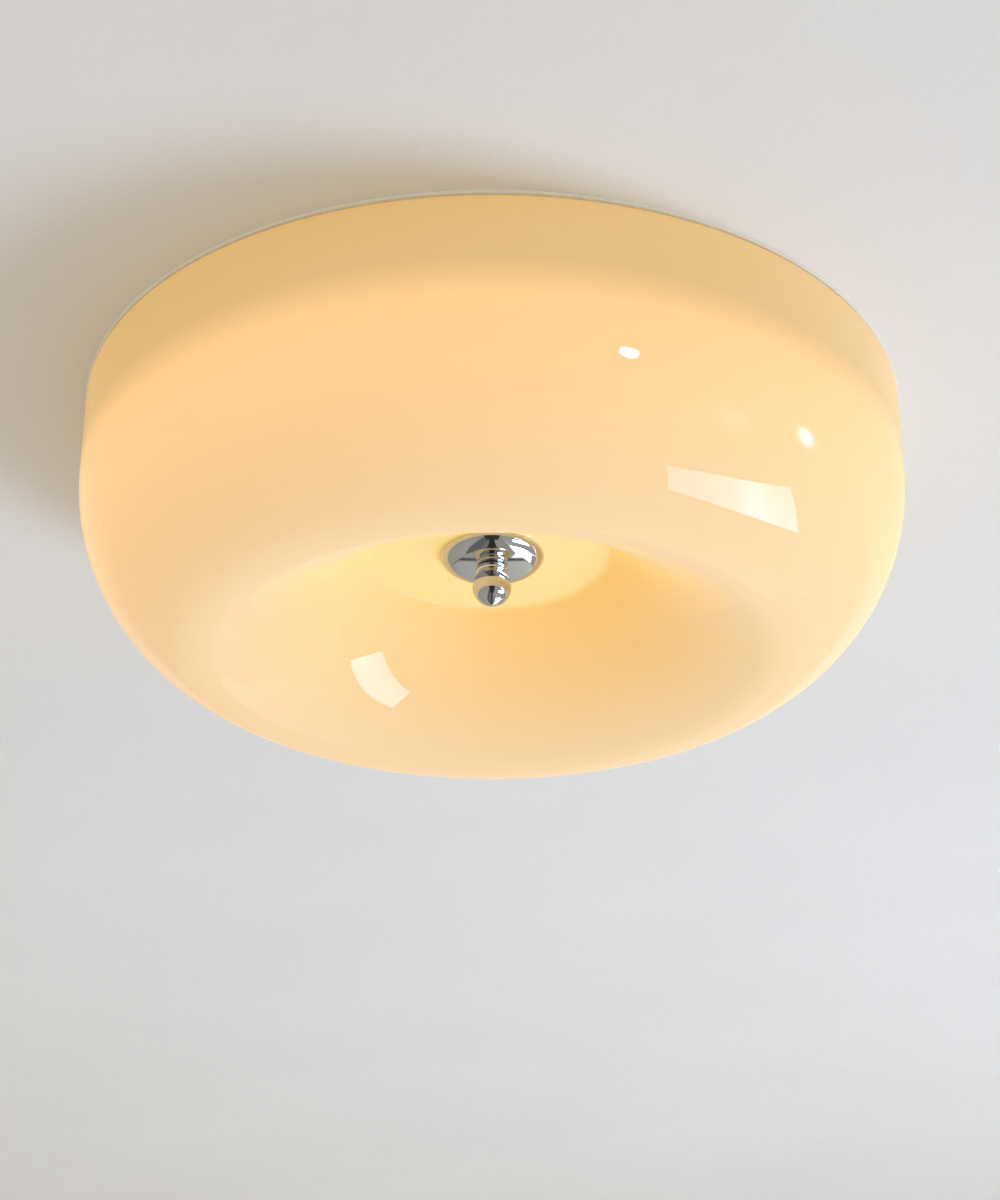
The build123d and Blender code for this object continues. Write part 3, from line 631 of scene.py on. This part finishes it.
glass_wall, shade_steps = 4.5, 240
rim_start, rim_round, rim_flat = (195.5, -3.6), 1.8, 0.9
neck_length, floor_fillet, floor_turn, floor_length = 40.3746, 4.0, 51.9605, 49.1


def shade_moves(inset):
    """The bowl's wall from the rim down, round the crest and up the dimple to the hole in its floor."""
    arcs = [(92.0, -60.0), (31.0, -30.0), (30.0, -25.0), (183.2247, -26.9605)]
    moves = [(neck_length, 0)] + [(radius - inset, turn) for radius, turn in arcs]
    return moves + [(floor_fillet + inset, floor_turn), (floor_length, 0)]


rim_moves = [(rim_round, -90.0), (rim_flat, 0), (rim_round, -90.0)]
shade_outside = follow(rim_start, 90.0, rim_moves + shade_moves(0.0))
shade_inside = follow(rim_start, -90.0, shade_moves(glass_wall))
shade_section = shade_outside + shade_inside[:0:-1]


def run_along(points):
    """How far along its section each point lies, as a share of the whole."""
    total, runs = 0.0, [0.0]
    for (x0, z0), (x1, z1) in zip(points, points[1:]):
        total += math.hypot(x1 - x0, z1 - z0)
        runs.append(total)
    return [run / total for run in runs]


glow_stops = [
    (0.000, (0.43, 0.225, 0.035)),
    (0.120, (0.43, 0.225, 0.035)),
    (0.175, (0.68, 0.355, 0.098)),
    (0.280, (0.66, 0.360, 0.116)),
    (0.420, (0.545, 0.306, 0.114)),
    (0.560, (0.47, 0.270, 0.105)),
    (0.680, (0.50, 0.255, 0.040)),
    (0.825, (0.56, 0.265, 0.010)),
    (0.850, (0.55, 0.330, 0.035)),
    (1.000, (0.55, 0.330, 0.035)),
]


def opal_glass():
    """Gloss white glass over a warm glow that follows the section from the rim to the hole."""
    mirrored_glow = 0.8
    finish = bpy.data.materials.new("opal_glass")
    finish.use_nodes = True
    nodes = finish.node_tree.nodes
    links = finish.node_tree.links
    shader = nodes["Principled BSDF"]
    shader.inputs["IOR"].default_value = 1.15
    shader.inputs["Emission Strength"].default_value = 1.0

    lean = nodes.new("ShaderNodeLayerWeight")
    softness = value_range(nodes, low=0.78, high=0.97, to_low=0.02, to_high=0.45)
    links.new(lean.outputs["Facing"], softness.inputs["Value"])
    links.new(softness.outputs["Result"], shader.inputs["Roughness"])

    along = nodes.new("ShaderNodeAttribute")
    along.attribute_name = "run"
    glow = colour_ramp(nodes, glow_stops)
    path = nodes.new("ShaderNodeLightPath")
    glow_level = value_range(nodes, to_low=1.0, to_high=mirrored_glow)
    dimmed = nodes.new("ShaderNodeVectorMath")
    dimmed.operation = "SCALE"
    links.new(along.outputs["Fac"], glow.inputs["Fac"])
    links.new(path.outputs["Is Glossy Ray"], glow_level.inputs["Value"])
    links.new(glow.outputs["Color"], dimmed.inputs[0])
    links.new(glow_level.outputs["Result"], dimmed.inputs["Scale"])
    links.new(dimmed.outputs["Vector"], shader.inputs["Emission Color"])

    grain = nodes.new("ShaderNodeGroup")
    grain.node_tree = surface_grain
    grain.inputs["Scale"].default_value = 9.0
    tint = colour_ramp(nodes, [(0.0, (0.53, 0.48, 0.34)), (1.0, (0.57, 0.52, 0.38))])
    wave = nodes.new("ShaderNodeBump")
    wave.inputs["Distance"].default_value = 0.00035
    links.new(grain.outputs["Mottle"], tint.inputs["Fac"])
    links.new(tint.outputs["Color"], shader.inputs["Base Color"])
    links.new(grain.outputs["Mottle"], wave.inputs["Height"])
    links.new(wave.outputs["Normal"], shader.inputs["Normal"])
    finish.cycles.emission_sampling = "NONE"
    return finish


shade = make_piece("opal_shade", opal_glass(), turned(shade_section, shade_steps), crease=60.0)
shade_runs = run_along(shade_outside) + run_along(shade_inside)[:0:-1]
run_layer = shade.data.attributes.new("run", "FLOAT", "POINT")
run_layer.data.foreach_set("value", [run for run in shade_runs for _ in range(shade_steps)])
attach(shade, "shade")
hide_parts("glass_shade")

# Bush and gasket: moulded silicone that keeps the glass hole off the rod and the cap off the glass.
# Both are slightly cloudy, and the cap hides them from below.

silicone = grained_finish(
    "silicone",
    dark=(0.62, 0.62, 0.58),
    light=(0.70, 0.70, 0.66),
    roughness=(0.40, 0.55),
    scale=200.0,
    relief=0.00001,
)
dress("shade_bush", silicone)
dress("cap_gasket", silicone)

# Cap: a shallow cup spun from thin brass sheet with a rounded edge, polished and chrome plated.
# It spreads the finial's grip over the dimple's floor and hides the hole in the glass.

cap_radius, cap_top, cap_skirt, cap_sheet, cap_hole = 25.2, -70.9, 0.7, 0.9, 5.3
edge_radius, edge_slope, crown_radius, seat_radius = 8.0, 68.0, 600.0, 9.0
edge_middle = cap_radius - edge_radius * math.sin(math.radians(edge_slope))
edge_height = cap_top - cap_skirt + edge_radius * math.cos(math.radians(edge_slope))
crown_slope = math.degrees(math.asin(edge_middle / (crown_radius - edge_radius)))
seat_slope = math.degrees(math.asin(seat_radius / crown_radius))


def cap_side(inset):
    """One side of the sheet: upright skirt, rounded edge and nearly flat crown."""
    slope = math.asin((cap_radius - inset - edge_middle) / (edge_radius - inset))
    skirt = cap_top - edge_height + (edge_radius - inset) * math.cos(slope)
    edge_turn = (edge_radius - inset, crown_slope - math.degrees(slope))
    crown_turn = (crown_radius - inset, seat_slope - crown_slope)
    side = follow((cap_radius - inset, cap_top), -90.0, [(skirt, 0)], spacing=0.4)
    edge_heading = -180.0 + math.degrees(slope)
    return side + follow(side[-1], edge_heading, [edge_turn, crown_turn], spacing=0.5)[1:]


cap_outside = cap_side(0.0)
cap_inside = cap_side(cap_sheet)
cap_seat = cap_outside[-1][1]
cap_middle = [(cap_hole, cap_seat), (cap_hole, cap_inside[-1][1])]
cap_form = turned(cap_outside + cap_middle + cap_inside[::-1], steps=128)
cap = make_piece("chrome_cap", chrome, cap_form)
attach(cap, "shade")
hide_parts("finial_cap")

# Finial: a collar bead and a ball turned from one brass bar, bored and tapped, polished and chrome plated.
# It screws up the rod by hand and holds the cap, the gasket and the glass against the pan.

bead_radius, bead_height, bead_round = 7.7, 4.3, 2.0
ball_radius, neck_radius, bore_radius, bore_depth = 9.45, 6.8, 5.05, 13.5
ball_middle = cap_seat - bead_height - math.sqrt(ball_radius**2 - neck_radius**2)
round_middle = (bead_radius - bead_round, cap_seat - bead_height + bead_round)
reach = math.hypot(round_middle[0], round_middle[1] - ball_middle)
lean = math.atan2(round_middle[1] - ball_middle, round_middle[0])
swing = math.acos((reach**2 + ball_radius**2 - bead_round**2) / (2 * reach * ball_radius))
crease = (ball_radius * math.cos(lean - swing), ball_middle + ball_radius * math.sin(lean - swing))
crease_slope = math.degrees(math.atan2(crease[1] - round_middle[1], crease[0] - round_middle[0]))
bead_moves = [(bead_round, -90.0), (bead_height - 2 * bead_round, 0)]
bead = follow((round_middle[0], cap_seat), 0.0, bead_moves, spacing=0.2)
bead += follow(bead[-1], -90.0, [(bead_round, crease_slope)], spacing=0.2)[1:]
ball_start = math.degrees(lean - swing)
ball = follow(crease, ball_start - 90.0, [(ball_radius, -90.0 - ball_start)], spacing=0.35)[1:-1]
bore_end = cap_seat - bore_depth
finial_section = [(bore_radius, cap_seat)] + bead + ball + [(0.0, ball_middle - ball_radius)]
finial_section += [(0.0, bore_end), (bore_radius, bore_end)]
finial = make_piece("ball_finial", chrome, turned(finial_section, steps=128))
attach(finial, "finial")
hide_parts("finial")

# Room: a plain plastered ceiling with the light on it, seen from below, and a pale floor far underneath.
# A bright window and three small lamps to the right show in the glass. A wall, a rug, a dark panel and a
# sunlit corner show in the chrome, and soft light fills the rest.


def stage_sheet(name, finish, points, faces):
    """A flat sheet of the room, in metres."""
    mesh = bpy.data.meshes.new(name)
    mesh.from_pydata(points, [], faces)
    mesh.materials.append(finish)
    sheet = bpy.data.objects.new(name, mesh)
    bpy.context.scene.collection.objects.link(sheet)
    return sheet


def clear_behind(finish, front):
    """Shows a shader on the front of a sheet, and lets everything through from behind."""
    nodes = finish.node_tree.nodes
    links = finish.node_tree.links
    side = nodes.new("ShaderNodeNewGeometry")
    clear = nodes.new("ShaderNodeBsdfTransparent")
    pick = nodes.new("ShaderNodeMixShader")
    links.new(side.outputs["Backfacing"], pick.inputs["Fac"])
    links.new(front, pick.inputs[1])
    links.new(clear.outputs["BSDF"], pick.inputs[2])
    links.new(pick.outputs["Shader"], nodes["Material Output"].inputs["Surface"])


plaster = grained_finish(
    "ceiling_plaster",
    dark=(0.785, 0.785, 0.785),
    light=(0.815, 0.815, 0.815),
    roughness=(0.85, 0.95),
    scale=4.0,
    relief=0.0004,
)
clear_behind(plaster, plaster.node_tree.nodes["Principled BSDF"].outputs["BSDF"])
ceiling_radii, ceiling_height, ceiling_steps = [200.1, 240.0, 400.0, 1000.0, 9000.0], 0.02, 256
ceiling_section = [(radius, ceiling_height) for radius in ceiling_radii]
ceiling_points, ceiling_faces = turned(ceiling_section, ceiling_steps)
open_faces = ceiling_faces[: (len(ceiling_radii) - 1) * ceiling_steps]
stage_sheet("ceiling", plaster, in_metres(ceiling_points), open_faces)

floor_paint = grained_finish(
    "floor_paint",
    dark=(0.80, 0.80, 0.79),
    light=(0.85, 0.85, 0.84),
    roughness=(0.5, 0.7),
    scale=3.0,
    relief=0.0001,
)
floor_reach, floor_height = 9.0, -2.3
floor_corners = [(-1, -1), (1, -1), (1, 1), (-1, 1)]
floor_points = [(x * floor_reach, y * floor_reach, floor_height) for x, y in floor_corners]
floor = stage_sheet("floor", floor_paint, floor_points, [[0, 1, 2, 3]])
floor.visible_diffuse = False
floor.visible_shadow = False

light_middle = (0.0, 0.0, -0.1)


def glowing(name, colour):
    """A surface that shines from its front, as strongly as the value on its points; its back is clear."""
    finish = bpy.data.materials.new(name)
    finish.use_nodes = True
    nodes = finish.node_tree.nodes
    shine = nodes.new("ShaderNodeEmission")
    shine.inputs["Color"].default_value = (*colour, 1.0)
    strength = nodes.new("ShaderNodeAttribute")
    strength.attribute_name = "shine"
    finish.node_tree.links.new(strength.outputs["Fac"], shine.inputs["Strength"])
    clear_behind(finish, shine.outputs["Emission"])
    finish.cycles.emission_sampling = "NONE"
    return finish


def mirrored_sheet(name, colour, points, faces, shine, towards=light_middle):
    """A part of the room that shows in polished surfaces and nowhere else, with its front towards a place."""
    sheet = stage_sheet(name, glowing(name + "_light", colour), points, faces)
    first = sheet.data.polygons[0]
    if first.normal.dot(Vector(towards) - first.center) < 0:
        sheet.data.flip_normals()
    sheet.data.attributes.new("shine", "FLOAT", "POINT").data.foreach_set("value", shine)
    sheet.visible_camera = False
    sheet.visible_diffuse = False
    sheet.visible_shadow = False
    return sheet


def pane(upper_left, upper_right, lower_right, lower_left, shine):
    """A four-cornered sheet in upright strips, with its shine listed from the left end to the right end."""
    points, faces, values = [], [], []
    for k, value in enumerate(shine):
        share = k / (len(shine) - 1)
        points.append(Vector(upper_left).lerp(Vector(upper_right), share))
        points.append(Vector(lower_left).lerp(Vector(lower_right), share))
        values += [value, value]
    for k in range(len(shine) - 1):
        faces.append([2 * k, 2 * k + 1, 2 * k + 3, 2 * k + 2])
    return points, faces, values


def lamp_disc(middle, radius, shine):
    """A round sheet that faces the light, with its shine listed from the middle to the edge."""
    steps = 24
    turn = (Vector(light_middle) - Vector(middle)).to_track_quat("Z", "Y")
    points, faces, values = [Vector(middle)], [], [shine[0]]
    for ring, value in enumerate(shine[1:]):
        ring_radius = radius * (ring + 1) / (len(shine) - 1)
        for k in range(steps):
            angle = 2 * math.pi * k / steps
            spoke = Vector((ring_radius * math.cos(angle), ring_radius * math.sin(angle), 0.0))
            points.append(Vector(middle) + turn @ spoke)
            values.append(value)
    for k in range(steps):
        m = (k + 1) % steps
        faces.append([0, 1 + k, 1 + m])
        for ring in range(len(shine) - 2):
            inner = 1 + steps * ring
            outer = inner + steps
            faces.append([inner + k, outer + k, outer + m, inner + m])
    return points, faces, values


daylight = (0.40, 0.65, 1.0)
side_corners = [
    (0.304, -0.253, -0.396),
    (0.474, -0.083, -0.255),
    (0.438, 0.036, -0.296),
    (0.282, -0.174, -0.433),
]
side_shine = [33.0, 34.0, 36.0, 40.0, 48.0, 66.0, 44.0, 36.0, 30.0]
mirrored_sheet("side_window", daylight, *pane(*side_corners, side_shine))
low_corners = [
    (0.630, 0.467, -0.824),
    (0.283, 0.131, -0.454),
    (0.194, 0.093, -0.631),
    (0.309, 0.238, -0.948),
]
low_shine, dimple_wall = [42.0, 58.0, 44.0], (-0.054, 0.071, -0.103)
mirrored_sheet("low_window", daylight, *pane(*low_corners, low_shine), towards=dimple_wall)

lamp_white = (0.6, 0.8, 1.0)
small_lamps = [
    ("spot_lamp", lamp_white, (1.19, -1.835, -0.169), 0.10, [190.0, 190.0]),
    ("far_lamp", daylight, (2.13, -0.143, -0.219), 0.18, [90.0, 60.0, 15.0, 0.0]),
    ("dim_lamp", lamp_white, (1.964, -0.915, -0.698), 0.30, [15.0, 11.0, 4.0, 0.0]),
]
for name, colour, middle, radius, shine in small_lamps:
    mirrored_sheet(name, colour, *lamp_disc(middle, radius, shine))

wall_grey, sunlit = (1.0, 0.985, 0.90), (1.0, 1.0, 1.0)
wall_foot, rug_height, stripe_height = -2.24, -2.28, -2.27
far_wall = [(-0.9, 3.95, -0.9), (0.9, 3.95, -0.9), (0.9, 3.95, wall_foot), (-0.9, 3.95, wall_foot)]
skirting = [
    (-0.6, 3.94, wall_foot),
    (0.6, 3.94, wall_foot),
    (0.6, 3.94, floor_height),
    (-0.6, 3.94, floor_height),
]
rug_left, rug_right = (-0.95, 0.50, rug_height), (0.70, 0.35, rug_height)
rug_far = [(-0.18, 3.60, rug_height), (0.09, 3.60, rug_height), rug_right, rug_left]
rug_near = [rug_left, rug_right, (0.95, -2.40, rug_height), (-1.10, -2.40, rug_height)]
rug_shine = [0.17, 0.17, 0.38, 0.38]
floor_stripe = [
    (-0.09, 3.60, stripe_height),
    (0.09, 3.60, stripe_height),
    (0.17, -1.25, stripe_height),
    (-0.17, -1.25, stripe_height),
]
dark_panel = [
    (-0.42, -1.25, -0.35),
    (0.42, -1.25, -0.35),
    (0.42, -1.25, floor_height),
    (-0.42, -1.25, floor_height),
]
corner_near, corner_far = (0.72, 0.35, rug_height), (2.10, 2.20, rug_height)
bright_floor = [(0.11, 3.90, rug_height), (0.70, 3.90, rug_height), corner_far, corner_near]
bright_wall = [(0.72, 0.35, -1.20), (2.10, 2.20, -1.20), corner_far, corner_near]
room_panes = [
    ("far_wall", wall_grey, far_wall, [0.42, 0.42, 0.44, 0.58, 0.72, 0.74, 0.74]),
    ("skirting", wall_grey, skirting, [0.10, 0.10]),
    ("rug_far", wall_grey, rug_far, rug_shine),
    ("rug_near", wall_grey, rug_near, rug_shine),
    ("floor_stripe", wall_grey, floor_stripe, [0.04, 0.04]),
    ("dark_panel", wall_grey, dark_panel, [0.06, 0.04, 0.06]),
    ("bright_floor", sunlit, bright_floor, [1.7, 1.7]),
    ("bright_wall", sunlit, bright_wall, [1.7, 1.7]),
]
for name, colour, corners, shine in room_panes:
    mirrored_sheet(name, colour, *pane(*corners, shine))


def room_light():
    """Dimmer to the left and brighter to the right; polished surfaces see a plain grey instead."""
    left_air, right_air = (0.55, 0.50, 0.42), (0.66, 0.62, 0.55)
    room = bpy.data.worlds.new("room")
    room.use_nodes = True
    nodes = room.node_tree.nodes
    links = room.node_tree.links
    air = nodes["Background"]
    place = nodes.new("ShaderNodeTexCoord")
    split = nodes.new("ShaderNodeSeparateXYZ")
    across = value_range(nodes, low=-1.0)
    sides = colour_ramp(nodes, [(0.0, left_air), (1.0, right_air)])
    grey = nodes.new("ShaderNodeBackground")
    grey.inputs["Color"].default_value = (0.42, 0.42, 0.42, 1.0)
    path = nodes.new("ShaderNodeLightPath")
    pick = nodes.new("ShaderNodeMixShader")
    links.new(place.outputs["Generated"], split.inputs["Vector"])
    links.new(split.outputs["X"], across.inputs["Value"])
    links.new(across.outputs["Result"], sides.inputs["Fac"])
    links.new(sides.outputs["Color"], air.inputs["Color"])
    links.new(path.outputs["Is Glossy Ray"], pick.inputs["Fac"])
    links.new(air.outputs["Background"], pick.inputs[1])
    links.new(grey.outputs["Background"], pick.inputs[2])
    links.new(pick.outputs["Shader"], nodes["World Output"].inputs["Surface"])
    return room


bpy.context.scene.world = room_light()


def soft_lamp(name, place, aim, size, power, colour):
    """A square soft lamp that lights the room without showing in polished surfaces."""
    light = bpy.data.lights.new(name, "AREA")
    light.shape = "SQUARE"
    light.size = size
    light.energy = power
    light.color = colour
    lamp = bpy.data.objects.new(name, light)
    lamp.location = place
    lamp.rotation_euler = (Vector(aim) - Vector(place)).to_track_quat("-Z", "Y").to_euler()
    lamp.visible_glossy = False
    bpy.context.scene.collection.objects.link(lamp)


soft_lamp(
    "window_key",
    place=(1.50, 0.62, -1.75),
    aim=(0.0, 0.0, -0.05),
    size=0.9,
    power=27.0,
    colour=(0.68, 0.79, 1.0),
)
soft_lamp(
    "far_fill",
    place=(0.1, 1.7, -1.2),
    aim=(0.1, 1.7, 0.0),
    size=0.9,
    power=1.0,
    colour=(0.9, 0.97, 1.0),
)
soft_lamp(
    "back_light",
    place=(0.3, -0.4, 1.6),
    aim=(0.0, 0.0, 0.0),
    size=1.4,
    power=14.0,
    colour=(1.0, 0.99, 0.97),
)

# Camera: low in front of the light, looking up at the ceiling, as in the photograph.
# A slight shift sets the light a little left of the middle, where the photograph has it.

lens = bpy.data.cameras.new("camera")
lens.lens = 72.0
lens.sensor_width = 36.0
lens.shift_x = 0.0067
camera = bpy.data.objects.new("camera", lens)
camera.location = (0.0, -1.0326, -0.6114)
camera.rotation_euler = (math.radians(116.59), 0.0, 0.0)
bpy.context.scene.collection.objects.link(camera)
bpy.context.scene.camera = camera
bpy.context.scene.view_settings.view_transform = "Standard"
